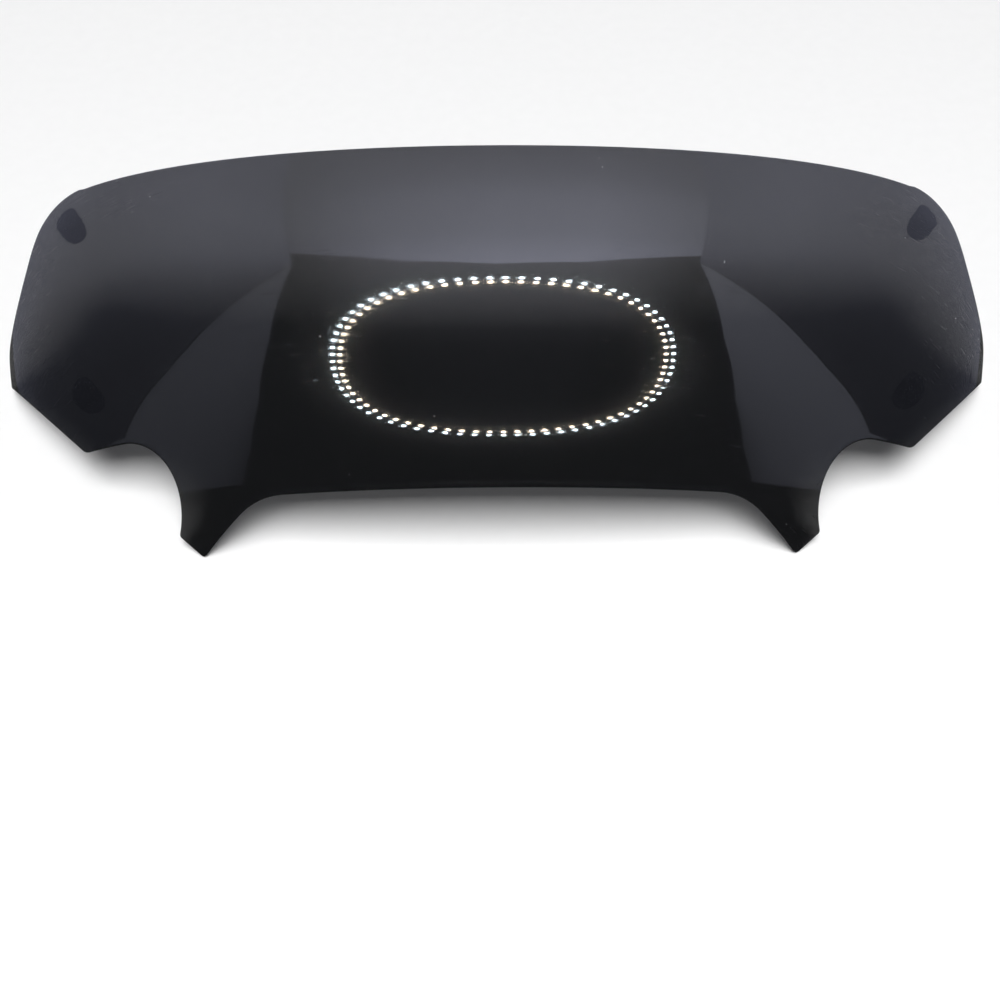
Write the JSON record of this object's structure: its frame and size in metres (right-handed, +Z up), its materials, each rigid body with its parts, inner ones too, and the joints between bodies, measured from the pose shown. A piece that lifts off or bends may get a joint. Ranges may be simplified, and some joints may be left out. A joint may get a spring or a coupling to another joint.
{
  "type": "vr headset front visor",
  "caption": "Glossy smoked front visor of a VR headset: a wide curved shell with camera cut-outs, pointed prongs and magnet studs inside.",
  "frame": {"origin": "on the table under the middle of the visor's bounding box, with the visor lying hollow side down on its prong tips and the lower corners of its wings", "axes": "+X across the visor, +Z up, and the edge that is lowest when the headset is worn points to -Y"},
  "size_m": [0.1878, 0.0564, 0.0548],
  "materials": {
    "smoked_shell": "injection-moulded smoked polycarbonate, high gloss both sides",
    "magnet": "nickel-plated neodymium, satin",
    "adhesive": "dark cured epoxy, matte"
  },
  "bodies": {
    "root": {"visor_shell": "smoked_shell", "magnet_upper_left": "magnet", "magnet_upper_right": "magnet", "magnet_lower_left": "magnet", "magnet_lower_right": "magnet", "adhesive_upper_left": "adhesive", "adhesive_upper_right": "adhesive", "adhesive_lower_left": "adhesive", "adhesive_lower_right": "adhesive"}
  },
  "joints": []
}
